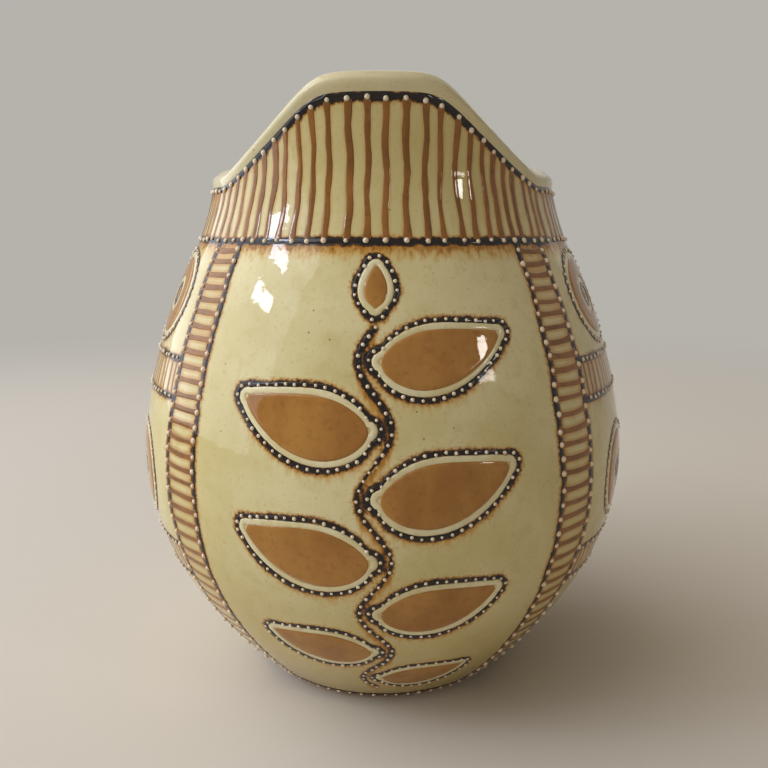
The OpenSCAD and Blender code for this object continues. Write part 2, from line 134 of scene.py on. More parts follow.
def crest_share(a):
    """How far the rim has risen towards the crest at an azimuth in radians."""
    t = max(SLOPE_END_ANGLE - abs(a)/DEG, 0)/(SLOPE_END_ANGLE - CREST_HALF_ANGLE)
    s = t**SLOPE_POWER
    return s - CORNER_SHARE*math.log(1 + math.exp((s - 1)/CORNER_SHARE))


def rim_z(a):
    return SIDE_H + (CREST_H - SIDE_H)*crest_share(a)


# Distance up the outside from the base, and the height that it reaches
WALL_STEPS = 800
rising = [CREST_H*i/WALL_STEPS for i in range(WALL_STEPS + 1)]
climbed = [0.0]
for low_z, high_z in zip(rising, rising[1:]):
    climbed.append(climbed[-1] + math.hypot(skin_r(high_z) - skin_r(low_z), high_z - low_z))


def read_off(value, table, other):
    i = min(max(bisect.bisect_left(table, value), 1), len(table) - 1)
    share = (value - table[i - 1])/(table[i] - table[i - 1])
    return other[i - 1] + share*(other[i] - other[i - 1])


def height_at(v):
    return read_off(v, climbed, rising)


def climb_at(z):
    return read_off(z, rising, climbed)


WALL_L = climb_at(FOOT_H)


def drift(at, seed):
    """The smooth unsteadiness of a hand along its path, from -1 to 1."""
    return noise.noise((at, seed*3.7 + 0.5, 0.25))


# Starting, shaping and finishing a piece

def linear(code):
    """An sRGB hex colour as a linear colour."""
    shares = [int(code[i:i + 2], 16)/255 for i in (1, 3, 5)]
    return (*[c/12.92 if c <= 0.04045 else ((c + 0.055)/1.055)**2.4 for c in shares], 1)


def edit(choose="SELECT"):
    bpy.ops.object.mode_set(mode="EDIT")
    bpy.ops.mesh.select_all(action=choose)


def leave_edit():
    bpy.ops.object.mode_set(mode="OBJECT")


def closed_up():
    """In edit mode, merges the doubles of a spun or rolled mesh and turns its faces outwards."""
    bpy.ops.mesh.select_all(action="SELECT")
    bpy.ops.mesh.remove_doubles(threshold=MERGE)
    bpy.ops.mesh.normals_make_consistent(inside=False)
    leave_edit()


def shaped(obj, rule):
    """Moves each vertex of a mesh to where a rule puts it."""
    for vertex in obj.data.vertices:
        vertex.co = rule(vertex.co)
    obj.data.update()


def finished(obj, name, finish, slot, *nodes):
    """Names a piece, gives it its finish, and sets it on the jug in place of its solids."""
    obj.name = name
    obj.data.name = name
    obj.data.materials.clear()
    obj.data.materials.append(finish)
    for face in obj.data.polygons:
        face.use_smooth = True
    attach(obj, "root")
    if nodes:
        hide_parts(*nodes)
    return obj


def thrown(profile, steps):
    """A round shape: a point drawn along a profile in metres and spun on the wheel."""
    bpy.ops.object.select_all(action="DESELECT")
    bpy.ops.mesh.primitive_plane_add(size=MM)
    obj = bpy.context.object
    edit()
    bpy.ops.mesh.merge(type="CENTER")
    bpy.ops.transform.translate(value=(profile[0][0], 0, profile[0][1]))
    for (r0, z0), (r1, z1) in zip(profile, profile[1:]):
        bpy.ops.mesh.extrude_region_move(TRANSFORM_OT_translate={"value": (r1 - r0, 0, z1 - z0)})
    bpy.ops.mesh.select_all(action="SELECT")
    bpy.ops.mesh.spin(steps=steps, angle=TURN, center=(0, 0, 0), axis=(0, 0, 1))
    closed_up()
    return obj


# Finishes

BLEND = {"data_type": "RGBA"}
EASE = {"interpolation_type": "SMOOTHSTEP"}
RIPPLE_L, PEEL_L, PEEL_SHARE, RIPPLE_H = 11*MM, 3.4*MM, 0.3, 0.25*MM
# What colours the honey glaze: its own thickness, painted shade on the collar, iron in the clay, tan slip
# and dark slip
LOW_HONEY, IRON_SPECK, TAN_TINT = "#B39548", "#4A3416", "#BE8A3A"
RUN_AMBER, RUN_BROWN = "#C48B1E", "#7A480A"
FRINGE_AMBER, FRINGE_BROWN, FRINGE_BLACK = "#BA7E1C", "#5E350B", "#1E140C"
LOW_HONEY_TOP, COLLAR_HONEY_SHADE_LAP = 85*MM, 6*MM


def add(tree, kind, settings, sockets, out=0):
    """Adds a node with its settings, sets or links its sockets, and gives one of its outputs."""
    node = tree.nodes.new("ShaderNode" + kind)
    for key, value in settings.items():
        setattr(node, key, value)
    for key, value in sockets.items():
        if isinstance(value, bpy.types.NodeSocket):
            tree.links.new(value, node.inputs[key])
        else:
            node.inputs[key].default_value = value
    return node.outputs[out]


def under_glaze(name, roughness):
    """Fired slip or clay under a clear lead glaze, which gives a wet gloss with soft ripples."""
    finish = bpy.data.materials.new(name)
    finish.use_nodes = True
    tree = finish.node_tree
    shader = tree.nodes["Principled BSDF"]
    shader.inputs["Roughness"].default_value = roughness
    shader.inputs["IOR"].default_value = 1.5
    shader.inputs["Specular IOR Level"].default_value = 0
    shader.inputs["Coat Weight"].default_value = 1
    shader.inputs["Coat Roughness"].default_value = 0.04
    shader.inputs["Coat IOR"].default_value = 1.46
    place = add(tree, "TexCoord", {}, {}, "Object")
    ripple = add(tree, "TexNoise", {}, {"Vector": place, "Scale": 1/RIPPLE_L, "Detail": 2})
    peel = add(tree, "TexNoise", {}, {"Vector": place, "Scale": 1/PEEL_L, "Detail": 2})
    height = add(tree, "Math", {"operation": "MULTIPLY_ADD"}, {0: peel, 1: PEEL_SHARE, 2: ripple})
    bump = add(tree, "Bump", {}, {"Strength": 0.48, "Distance": RIPPLE_H, "Height": height})
    tree.links.new(bump, shader.inputs["Normal"])
    tree.links.new(bump, shader.inputs["Coat Normal"])
    return finish, tree, shader, place


def make_clay(name, pale, honey, thick_glaze_and_shade):
    """Cream earthenware under honey glaze: mottled, specked, and stained amber and brown by dark slip."""
    finish, tree, shader, place = under_glaze(name, 0.3)
    cloud = add(tree, "TexNoise", {}, {"Vector": place, "Scale": 1/(38*MM), "Detail": 3})
    share = add(tree, "MapRange", EASE, {"Value": cloud, "From Min": 0.35, "From Max": 0.68})
    colour = add(tree, "Mix", BLEND, {0: share, 6: linear(pale), 7: linear(honey)}, 2)
    # Mottling of about 5 mm where the glaze lies thicker
    fine = add(tree, "TexNoise", {}, {"Vector": place, "Scale": 1/(5*MM), "Detail": 3})
    share = add(tree, "MapRange", EASE, {"Value": fine, "From Min": 0.45, "From Max": 0.8, "To Max": 0.35})
    colour = add(tree, "Mix", BLEND, {0: share, 6: colour, 7: linear(thick_glaze_and_shade)}, 2)
    # Deeper honey low on the body, darker towards the bottom, and on the upright collar
    high = add(tree, "SeparateXYZ", {}, {0: place}, "Z")
    share = add(tree, "MapRange", EASE, {
        "Value": high, "From Min": LOW_HONEY_TOP, "From Max": 0, "To Max": 0.6})
    colour = add(tree, "Mix", BLEND, {0: share, 6: colour, 7: linear(LOW_HONEY)}, 2)
    # On the upright collar the deeper honey is partly thicker glaze and partly painted shade
    share = add(tree, "MapRange", EASE, {
        "Value": high, "From Min": FOOT_H - COLLAR_HONEY_SHADE_LAP, "From Max": SIDE_H, "To Max": 0.5})
    colour = add(tree, "Mix", BLEND, {0: share, 6: colour, 7: linear(thick_glaze_and_shade)}, 2)
    # Iron specks under half a millimetre, thick in some places and missing in others
    grit = add(tree, "TexVoronoi", {}, {"Vector": place, "Scale": 1/(7*MM)})
    speck = add(tree, "MapRange", EASE, {"Value": grit, "From Min": 0.055, "From Max": 0.03})
    crowd = add(tree, "TexNoise", {}, {"Vector": place, "Scale": 1/(23*MM)})
    crowd = add(tree, "MapRange", EASE, {"Value": crowd, "From Min": 0.45, "From Max": 0.6, "To Max": 0.75})
    share = add(tree, "Math", {"operation": "MULTIPLY"}, {0: speck, 1: crowd})
    colour = add(tree, "Mix", BLEND, {0: share, 6: colour, 7: linear(IRON_SPECK)}, 2)
    # Amber tint where thin tan slip bleeds into the glaze between close stripes
    tint = add(tree, "Attribute", {"attribute_name": "tint"}, {}, "Fac")
    share = add(tree, "MapRange", EASE, {"Value": tint, "From Min": 0.04, "From Max": 0.55, "To Max": 0.7})
    colour = add(tree, "Mix", BLEND, {0: share, 6: colour, 7: linear(TAN_TINT)}, 2)
    # Amber runs below the dark slip, in soft streaks about 1.6 mm apart
    run = add(tree, "Attribute", {"attribute_name": "run"}, {}, "Fac")
    upright = add(tree, "Mapping", {}, {"Vector": place, "Scale": (1, 1, 0.12)})
    comb = add(tree, "TexNoise", {}, {"Vector": upright, "Scale": 1/(1.6*MM), "Detail": 2})
    reach = add(tree, "MapRange", EASE, {
        "Value": comb, "From Min": 0.25, "From Max": 0.8, "To Min": 0.33, "To Max": 0.6})
    wet = add(tree, "Math", {"operation": "ADD"}, {0: run, 1: reach})
    share = add(tree, "MapRange", EASE, {"Value": wet, "From Min": 0.92, "From Max": 1.4, "To Max": 0.85})
    colour = add(tree, "Mix", BLEND, {0: share, 6: colour, 7: linear(RUN_AMBER)}, 2)
    share = add(tree, "MapRange", EASE, {"Value": wet, "From Min": 1.18, "From Max": 1.52, "To Max": 0.9})
    colour = add(tree, "Mix", BLEND, {0: share, 6: colour, 7: linear(RUN_BROWN)}, 2)
    # Brown fringe with a ragged edge where the dark slip bleeds into the glaze beside it
    fringe = add(tree, "Attribute", {"attribute_name": "fringe"}, {}, "Fac")
    rag = add(tree, "TexNoise", {}, {"Vector": place, "Scale": 1/(1.1*MM), "Detail": 3})
    rag = add(tree, "MapRange", {}, {
        "Value": rag, "From Min": 0.25, "From Max": 0.75, "To Min": -0.16, "To Max": 0.16})
    edge = add(tree, "Math", {"operation": "ADD"}, {0: fringe, 1: rag})
    share = add(tree, "MapRange", EASE, {"Value": edge, "From Min": 0.03, "From Max": 0.3, "To Max": 0.7})
    colour = add(tree, "Mix", BLEND, {0: share, 6: colour, 7: linear(FRINGE_AMBER)}, 2)
    share = add(tree, "MapRange", EASE, {"Value": edge, "From Min": 0.24, "From Max": 0.44, "To Max": 0.95})
    colour = add(tree, "Mix", BLEND, {0: share, 6: colour, 7: linear(FRINGE_BROWN)}, 2)
    share = add(tree, "MapRange", EASE, {"Value": edge, "From Min": 0.42, "From Max": 0.56})
    colour = add(tree, "Mix", BLEND, {0: share, 6: colour, 7: linear(FRINGE_BLACK)}, 2)
    tree.links.new(colour, shader.inputs["Base Color"])
    return finish


def make_slip(name, roughness, light, middle, dark, size):
    """Coloured slip under glaze: paler where it lies thick and darker where the glaze bites in."""
    finish, tree, shader, place = under_glaze(name, roughness)
    upright = add(tree, "Mapping", {}, {"Vector": place, "Scale": (1, 1, 0.55)})
    cloud = add(tree, "TexNoise", {}, {"Vector": upright, "Scale": 1/size, "Detail": 3})
    share = add(tree, "MapRange", EASE, {"Value": cloud, "From Min": 0.36, "From Max": 0.66})
    colour = add(tree, "Mix", BLEND, {0: share, 6: linear(light), 7: linear(middle)}, 2)
    fine = add(tree, "TexNoise", {}, {"Vector": place, "Scale": 1/(2.2*MM), "Detail": 3})
    share = add(tree, "MapRange", EASE, {"Value": fine, "From Min": 0.48, "From Max": 0.78, "To Max": 0.4})
    colour = add(tree, "Mix", BLEND, {0: share, 6: colour, 7: linear(dark)}, 2)
    tree.links.new(colour, shader.inputs["Base Color"])
    return finish


def make_biscuit():
    """Bare fired clay of the base: dry, buff and sandy."""
    finish = bpy.data.materials.new("bare_biscuit_clay")
    finish.use_nodes = True
    tree = finish.node_tree
    shader = tree.nodes["Principled BSDF"]
    shader.inputs["Roughness"].default_value = 0.85
    place = add(tree, "TexCoord", {}, {}, "Object")
    sand = add(tree, "TexNoise", {}, {"Vector": place, "Scale": 1/(1.2*MM), "Detail": 4})
    share = add(tree, "MapRange", EASE, {"Value": sand, "From Min": 0.35, "From Max": 0.7})
    colour = add(tree, "Mix", BLEND, {0: share, 6: linear("#C9A878"), 7: linear("#A9834F")}, 2)
    bump = add(tree, "Bump", {}, {"Strength": 0.4, "Distance": 0.2*MM, "Height": sand})
    tree.links.new(colour, shader.inputs["Base Color"])
    tree.links.new(bump, shader.inputs["Normal"])
    return finish


CLAY = make_clay("honey_glazed_earthenware", "#DCD2A2", "#CEC188", "#C0AE6C")
LIP = make_clay("thinly_glazed_lip", "#E0DABB", "#D4CBA2", "#C8BC8C")
BISCUIT = make_biscuit()
TAN = make_slip("tan_slip_under_glaze", 0.3, "#B07E39", "#9F6C2B", "#7B4D17", 14*MM)
THIN_TAN = make_slip("thin_tan_slip_under_glaze", 0.3, "#966326", "#7E5115", "#593709", 11*MM)
DARK = make_slip("dark_slip_under_glaze", 0.28, "#1C130C", "#120C08", "#38220F", 6*MM)
PALE = make_slip("pale_slip_under_glaze", 0.3, "#E2DAB2", "#D8CC9C", "#C4B27A", 9*MM)
DROPS = make_slip("cream_slip_drops", 0.3, "#EBDCC3", "#E2CFAE", "#CDB184", 5*MM)


# Slip trailed on the wall: paths are lists of azimuth, distance up the wall and half width

dark_trails, tan_trails = [], []
SINK = 0.12*MM


def eased(steps):
    """Shares from 0 to 1 that crowd towards both ends."""
    return [(1 - math.cos(math.pi*i/steps))/2 for i in range(steps + 1)]


def gap_between(p, q):
    """Distance along the wall between two points."""
    r = skin_r(height_at((p[1] + q[1])/2))
    return math.hypot((q[0] - p[0])*r, q[1] - p[1])


SWELL, SWELL_REACH = 0.5, 1*MM
WAVER_L, SWAY_L, SWAY_SHARE = 4.5*MM, 19*MM, 0.7
SEAM_FADE = 8


def thick(points, half, seed, closed=False, flare=0.0, waver=0.14, drops=()):
    """Gives a path its half widths: unsteady, round at open ends, wider where it flares or has drops."""
    along = [0.0]
    for p, q in zip(points, points[1:]):
        along.append(along[-1] + gap_between(p, q))
    path = []
    for (a, v), d in zip(points, along):
        share = d/along[-1]
        unsteady = drift(d/WAVER_L, seed) + SWAY_SHARE*drift(d/SWAY_L, seed + 9)
        width = half*(1 + waver*unsteady)*(1 + flare*(2*share - 1)**6)
        if drops:
            near = min(gap_between((a, v), drop) for drop in drops)
            width *= 1 - SWELL/2 + SWELL*math.exp(-(near/SWELL_REACH)**2)
        if closed:
            # Steady at the seam, so that the ends meet
            fade = min(1, min(share, 1 - share)*SEAM_FADE)
            width = half + (width - half)*fade
        else:
            end = min(d, along[-1] - d)/half
            width *= math.sqrt(max(1 - (1 - min(end, 1))**2, 0.01))
        path.append((a, v, width))
    return path


def pool(top, edge, fall):
    """How a trail or a filled patch settles: level in the middle, and thinner towards its edge."""
    return lambda h: top*min(h/edge, 1)**fall


def trailed(trails, settle, closed=False, sides=3):
    """Slip trailed along paths on the wall as round cords that then settle flat on it."""
    bpy.ops.object.select_all(action="DESELECT")
    bpy.ops.curve.primitive_nurbs_path_add()
    obj = bpy.context.object
    curve = obj.data
    curve.splines.clear()
    for path in trails:
        line = curve.splines.new("POLY")
        line.points.add(len(path) - 1)
        line.use_cyclic_u = closed
        for point, (a, v, half) in zip(line.points, path):
            point.co = (*on_wall(a, height_at(v)), 1)
            point.radius = half
    curve.dimensions = "3D"
    curve.bevel_depth = 1
    curve.bevel_resolution = sides
    curve.use_fill_caps = not closed
    bpy.ops.object.convert(target="MESH")
    obj = bpy.context.object

    def settled(co):
        a, r, lean = azimuth(co), math.hypot(co.x, co.y), slope(co.z)
        slant = math.hypot(1, lean)
        h = (r - wall_r(a, co.z))/slant
        return on_wall(a, co.z + h*lean/slant, settle(h) if h > 0 else -SINK)

    shaped(obj, settled)
    edit()
    bpy.ops.mesh.normals_make_consistent(inside=False)
    leave_edit()
    return obj


def paced(points, spacing, closed=False):
    """Points at even distances along a path."""
    line = points + points[:1] if closed else points
    along = [0.0]
    for p, q in zip(line, line[1:]):
        along.append(along[-1] + gap_between(p, q))
    count = max(round(along[-1]/spacing), 1)
    stops = [along[-1]*i/count for i in range(count if closed else count + 1)]
    turns, climbs = zip(*line)
    return [(read_off(d, along, turns), read_off(d, along, climbs)) for d in stops]


DROP_CUT, DROP_FLAT = -0.05, 0.8


def make_drop():
    """One drop of slip, modelled once: a round ball cut off flat and pressed low."""
    bpy.ops.object.select_all(action="DESELECT")
    bpy.ops.mesh.primitive_uv_sphere_add(segments=10, ring_count=6, radius=1)
    edit()
    bpy.ops.mesh.bisect(plane_co=(0, 0, DROP_CUT), plane_no=(0, 0, 1), use_fill=True, clear_inner=True)
    bpy.ops.mesh.select_all(action="SELECT")
    bpy.ops.transform.resize(value=(1, 1, DROP_FLAT))
    leave_edit()
    return bpy.context.object


drop = make_drop()
DROP_BED, DROP_STRAY, DROP_LEAST, DROP_MOST = 0.06*MM, 0.25*MM, 0.8, 1.16


def dropped(name, places):
    """Copies of the drop set on dark lines, each with its own size, joined to one piece."""
    copies = []
    for a, v, size in places:
        z = height_at(v + hand.uniform(-DROP_STRAY, DROP_STRAY))
        a += hand.uniform(-DROP_STRAY, DROP_STRAY)/skin_r(z)
        foot = on_wall(a, z, DROP_BED)
        up = (on_wall(a, z, 1*MM) - on_wall(a, z)).normalized()
        copy = drop.copy()
        copy.data = drop.data.copy()
        scale = size*hand.uniform(DROP_LEAST, DROP_MOST)
        copy.matrix_world = Matrix.LocRotScale(foot, up.to_track_quat("Z", "Y"), Vector((scale,)*3))
        bpy.context.collection.objects.link(copy)
        copies.append(copy)
    bpy.ops.object.select_all(action="DESELECT")
    for copy in copies:
        copy.select_set(True)
    bpy.context.view_layer.objects.active = copies[0]
    bpy.ops.object.join()
    bpy.ops.object.transform_apply(location=True, rotation=True, scale=True)
    return finished(bpy.context.object, name, DROPS, "pale_slip")


def steady(strength):
    """The same strength at every azimuth."""
    return lambda a: strength


def lay(name, trails, settle, finish, slot, closed=False, sides=3, weep=steady(1)):
    """A piece of trailed slip that stands for the solid of its name, and weeps into the glaze if dark."""
    if finish is DARK:
        dark_trails.extend((path, weep) for path in trails)
    if finish is THIN_TAN:
        tan_trails.extend(trails)
    return finished(trailed(trails, settle, closed, sides), "trailed_" + name, finish, slot, name)


# The stain beside a dark line adds to its width, so the slip itself is slimmer than its solid
OUTLINE_SLIM, FOOT_LINE_SLIM, RAIL_SLIM, HATCH_SLIM = 0.68, 0.88, 0.85, 0.9
LINE_WAVER = 0.4
# How each slip settles: its height, how far in from its edge it is level, and how it falls off
LINE = pool(0.24*MM, 1*MM, 1.4)
FLAT_LINE = pool(0.08*MM, 1*MM, 1.6)
STRIPE = pool(0.09*MM, 1*MM, 1.8)
HALO = pool(0.2*MM, 0.9*MM, 1.4)
FILL = pool(0.32*MM, 2*MM, 1.1)

# The collar: a dark line under the rim, a dark line at its foot, and tan stripes between

STRIPE_COUNT, STRIPE_W = 88, 2*MM
STRIPE_SPREAD, STRIPE_SPREAD_SHARE = 7*DEG, 0.1
HANDLE_HALF_ANGLE = (STRAP_W*(1 + FLARE_SHARE)/2 + STRIPE_W)/WAIST_R
RIM_SEAT = 0.15*MM
SIDE_LINE_SHARE, CREST_LINE_SHARE = 0.82, 0.76
WEEP, WEEP_MORE, WEEP_FROM, WEEP_SPAN = 0.55, 0.55, 40, 30
STRIPE_STEPS, STRIPE_STRAY, STRIPE_WANDER, STRIPE_WANDER_L = 26, 0.45, 1.1*MM, 13*MM
TURN_STEPS = 560
RIM_SWAY, FOOT_SWAY, BASE_SWAY = 0.15*MM, 0.3*MM, 0.2*MM
FOOT_SWELL, FOOT_SWELL_AT, FOOT_SWELL_SPAN = 0.3, 12, 40
RIM_DROP_R, FOOT_DROP_R = 0.86*MM, 0.84*MM


def collar_cut(a):
    return rim_z(a) - RIM_H - RIM_SEAT


def rim_line_half(a):
    slim, full = SIDE_LINE_SHARE*LINE_W, CREST_LINE_SHARE*RIM_LINE_W
    return (slim + (full - slim)*crest_share(a)**2)/2


def rim_weep(a):
    """The glaze runs further at the sides of the collar than at the crest."""
    return WEEP + WEEP_MORE*min(max(abs(a)/DEG - WEEP_FROM, 0)/WEEP_SPAN, 1)


def rim_line_z(a):
    return collar_cut(a) - SLIP_GAP - rim_line_half(a)


stripes, rim_drops, foot_drops = [], [], []
for i in range(STRIPE_COUNT):
    s = 2*(i + 0.5)/STRIPE_COUNT - 1
    a = (math.pi - STRIPE_SPREAD)*s + STRIPE_SPREAD*s/math.hypot(s, STRIPE_SPREAD_SHARE)
    if math.pi - abs(a) <= HANDLE_HALF_ANGLE:
        continue
    a += hand.uniform(-STRIPE_STRAY, STRIPE_STRAY)*DEG
    low = WALL_L + hand.uniform(-0.2, 0.3)*MM
    high = climb_at(rim_line_z(a)) - hand.uniform(0.2, 0.6)*MM
    points = []
    for t in eased(STRIPE_STEPS):
        v = low + (high - low)*t
        wander = STRIPE_WANDER*drift(v/STRIPE_WANDER_L, 20 + i)*min(1, 4*t, 4 - 4*t)/WAIST_R
        points.append((a + wander, v))
    stripes.append(thick(points, STRIPE_W/2*hand.uniform(0.85, 1.15), 60 + i, flare=0.25, waver=0.28))
    rim_drops.append(points[-1])
    foot_drops.append(points[0])
lay("collar_stripes", stripes, STRIPE, THIN_TAN, "tan_slip")
turn_shares = [2*i/TURN_STEPS - 1 for i in range(TURN_STEPS + 1)]
rim_line_points = []
for s in turn_shares:
    a = (math.pi - HANDLE_HALF_ANGLE)*s
    rim_line_points.append((a, climb_at(rim_line_z(a) + RIM_SWAY*drift(14*s, 6))))
rim_line = thick(rim_line_points, LINE_W/2, 3, waver=LINE_WAVER, drops=rim_drops)
rim_line = [(a, v, half*rim_line_half(a)*2/LINE_W) for a, v, half in rim_line]
lay("rim_line", [rim_line], FLAT_LINE, DARK, "dark_slip", weep=rim_weep)
foot_line_points = [(math.pi*s, WALL_L + FOOT_SWAY*drift(12*s, 8)) for s in turn_shares[:-1]]
foot_line = thick(foot_line_points, LINE_W/2*FOOT_LINE_SLIM, 5, True, waver=LINE_WAVER, drops=foot_drops)
foot_line = [(a, v, half*(1 + FOOT_SWELL*math.exp(-((a/DEG - FOOT_SWELL_AT)/FOOT_SWELL_SPAN)**2)))
             for a, v, half in foot_line]
lay("collar_foot_line", [foot_line], FLAT_LINE, DARK, "dark_slip", True)
collar_drops = [(a, v, RIM_DROP_R) for a, v in rim_drops]
collar_drops += [(a, v, FOOT_DROP_R) for a, v in foot_drops]
dropped("collar_drops", collar_drops)

# The dark line at the foot of the body

BASE_LINE_LOW = LINE_W
BASE_DROP_R, BASE_DROP_STEP = 0.68*MM, 4.2*MM
base_line_v = climb_at(BASE_LINE_LOW + LINE_W/2)
base_line_points = [(math.pi*s, base_line_v + BASE_SWAY*drift(7*s, 4)) for s in turn_shares[:-1]]
# The last point is a full turn on from the first, so the drops go round once
base_drops = paced(base_line_points + [(math.pi, base_line_points[0][1])], BASE_DROP_STEP)[:-1]
base_line = thick(base_line_points, LINE_W/2, 12, True, drops=base_drops)
lay("base_line", [base_line], LINE, DARK, "dark_slip", True)
dropped("base_drops", [(a, v, BASE_DROP_R) for a, v in base_drops])

# The ladder bands

LADDER_AZIMUTH, LADDER_HALF = 45*DEG, 5*DEG
RAIL_W, RUNG_W, RUNG_COUNT, RUNG_CROWD = 1.8*MM, 1.9*MM, 36, 0.13
RUNG_LAP, RAIL_LAP = 0.5*MM, 0.8*MM
RAIL_STEPS, RUNG_STEPS = 190, 16
RAIL_WANDER, RAIL_WANDER_L = 0.7*MM, 9*MM
LADDER_DROP_R = 0.87*MM
ladder_bottom = climb_at(BASE_LINE_LOW + LINE_W + SLIP_GAP)
ladder_top = WALL_L - LINE_W/2 - SLIP_GAP


def ladder(place, middle, seed):
    rails, rungs, drops = [], [], {-1: [], 1: []}
    sides = {}
    for side in (-1, 1):
        points = []
        for t in eased(RAIL_STEPS):
            v = ladder_bottom - RAIL_LAP + (ladder_top - ladder_bottom + 2*RAIL_LAP)*t
            waver = RAIL_WANDER*drift(v/RAIL_WANDER_L, seed + side)/skin_r(height_at(v))
            points.append((middle + side*LADDER_HALF + waver, v))
        sides[side] = points
    for i in range(RUNG_COUNT):
        share = (i + 0.5)/RUNG_COUNT
        share += RUNG_CROWD*share*(1 - share)
        v = ladder_bottom + (ladder_top - ladder_bottom)*share + hand.uniform(-0.3, 0.3)*MM
        tilt = hand.uniform(-0.6, 0.6)*MM
        bow = hand.uniform(-0.7, 0.1)*MM
        ends = {s: read_off(v, [p[1] for p in sides[s]], [p[0] for p in sides[s]]) for s in sides}
        points = []
        for t in eased(RUNG_STEPS):
            lap = RUNG_LAP/skin_r(height_at(v))*(2*t - 1)
            points.append((ends[-1] + (ends[1] - ends[-1])*t + lap, v + tilt*(t - 0.5) + bow*4*t*(1 - t)))
        rungs.append(thick(points, RUNG_W/2*hand.uniform(0.85, 1.1), seed + i, flare=1.3, waver=0.2))
        for side in sides:
            drops[side].append((ends[side], v + tilt*side/2))
    for side in sides:
        rails.append(thick(sides[side], RAIL_W/2*RAIL_SLIM, seed + side*0.3, waver=LINE_WAVER))
    lay("ladder_rungs_" + place, rungs, STRIPE, THIN_TAN, "tan_slip")
    lay("ladder_rails_" + place, rails, FLAT_LINE, DARK, "dark_slip")
    dropped("ladder_drops_" + place, [(a, v, LADDER_DROP_R) for a, v in drops[-1] + drops[1]])


ladder("front_left", -LADDER_AZIMUTH, 101)
ladder("front_right", LADDER_AZIMUTH, 202)
ladder("back_left", LADDER_AZIMUTH - math.pi, 303)
ladder("back_right", math.pi - LADDER_AZIMUTH, 404)

# Leaves: start, direction, length and bend, in distance round and up the wall

LEAF_WIDTH_SHARE, LEAF_END_SHARE, LEAF_FULLNESS = 0.5, 0.1, 0.8
LEAF_COUNT, LEAF_START, LEAF_GAP, TRAIL_MARGIN = 7, 24*MM, 2*MM, 3*MM
STEM_SWING, BUD_L, BACK_LEAF_L = 5*MM, 13*MM, 34*MM
LEAF_REACH_SHARE, LEAF_BEND, LEAF_DROOP = 0.6, 0.32, 6*DEG
HALO_MIDDLE = SLIP_GAP + HALO_W/2
OUTLINE_OUTSIDE = 2*SLIP_GAP + HALO_W + LINE_W
OUTLINE_MIDDLE = OUTLINE_OUTSIDE - LINE_W/2
LEAF_STEPS, FILL_STEPS, STEM_STEPS = 26, 44, 130
HALO_STEP, OUTLINE_STEP, HALO_LAP = 1.1*MM, 0.9*MM, 0.25*MM
OUTLINE_DROP_R, OUTLINE_DROP_STEP, STEM_DROP_STEP = 0.56*MM, 3.1*MM, 3.2*MM
STEM_FOOT_SHARE = 0.6


def leaf_half(leaf, t):
    swell = max(math.sin(math.pi*t**LEAF_FULLNESS), 0)**LEAF_FULLNESS
    return leaf[2]*LEAF_WIDTH_SHARE/2*(LEAF_END_SHARE + (1 - LEAF_END_SHARE)*swell)


def leaf_frame(leaf, t):
    """A point on a leaf's middle line and the way it runs there."""
    ahead = Vector((math.cos(leaf[1]), math.sin(leaf[1])))
    left = Vector((-ahead.y, ahead.x))
    return leaf[0] + leaf[2]*(t*ahead + leaf[3]*t*t*left), (ahead + 2*leaf[3]*t*left).normalized()


def leaf_loop(leaf, distance):
    """The outline of a leaf at a distance outside it, round at both ends."""
    loop = []
    for t in eased(LEAF_STEPS):
        p, way = leaf_frame(leaf, t)
        loop.append(p + Vector((way.y, -way.x))*(leaf_half(leaf, t) + distance))
    p, way = leaf_frame(leaf, 1)
    loop += arc(p, way, leaf_half(leaf, 1) + distance)
    for t in reversed(eased(LEAF_STEPS)):
        p, way = leaf_frame(leaf, t)
        loop.append(p - Vector((way.y, -way.x))*(leaf_half(leaf, t) + distance))
    p, way = leaf_frame(leaf, 0)
    loop += arc(p, -way, leaf_half(leaf, 0) + distance)
    return loop


def arc(centre, way, radius):
    """Points round a leaf's end, from its right to its left."""
    right = Vector((way.y, -way.x))
    return [centre + radius*(right*math.cos(f*DEG) + way*math.sin(f*DEG)) for f in range(15, 180, 15)]


def laid(points, middle):
    """Flat points, in distance round and up the wall, as azimuths and distances up."""
    return [(middle + p[0]/skin_r(height_at(p[1])), p[1]) for p in points]


def leaf_set(place, leaves, middle, seed):
    fills, halos, outlines, drops = [], [], [], []
    for i, leaf in enumerate(leaves):
        spine = []
        for t in eased(FILL_STEPS):
            (a, v), = laid([leaf_frame(leaf, t)[0]], middle)
            spine.append((a, v, leaf_half(leaf, t) + SLIP_GAP))
        fills.append(spine)
        halo = paced(laid(leaf_loop(leaf, HALO_MIDDLE), middle), HALO_STEP, True)
        halos.append(thick(halo, HALO_W/2 + HALO_LAP, seed + i, True))
        outline = paced(laid(leaf_loop(leaf, OUTLINE_MIDDLE), middle), OUTLINE_STEP, True)
        beads = paced(outline, OUTLINE_DROP_STEP, True)
        half = LINE_W/2*OUTLINE_SLIM
        outlines.append(thick(outline, half, seed + 40 + i, True, waver=LINE_WAVER, drops=beads))
        drops += [(a, v, OUTLINE_DROP_R) for a, v in beads]
    lay(place + "_leaf_fills", fills, FILL, TAN, "tan_slip", sides=8)
    lay(place + "_leaf_halos", halos, HALO, PALE, "pale_slip", True)
    lay(place + "_leaf_outlines", outlines, LINE, DARK, "dark_slip", True, weep=steady(0.78))
    return drops


def mirrored(start, direction, length, bend, side):
    way = direction if side > 0 else math.pi - direction
    return Vector((side*start[0], start[1])), way, length, side*bend


stem_top = WALL_L - LINE_W/2 - TRAIL_MARGIN - BUD_L - 2*OUTLINE_OUTSIDE - LEAF_GAP
leaf_pitch = (stem_top - LEAF_START)/(LEAF_COUNT - 0.5)


def stem_u(v):
    return -STEM_SWING*math.cos(math.pi*(v - LEAF_START)/leaf_pitch)


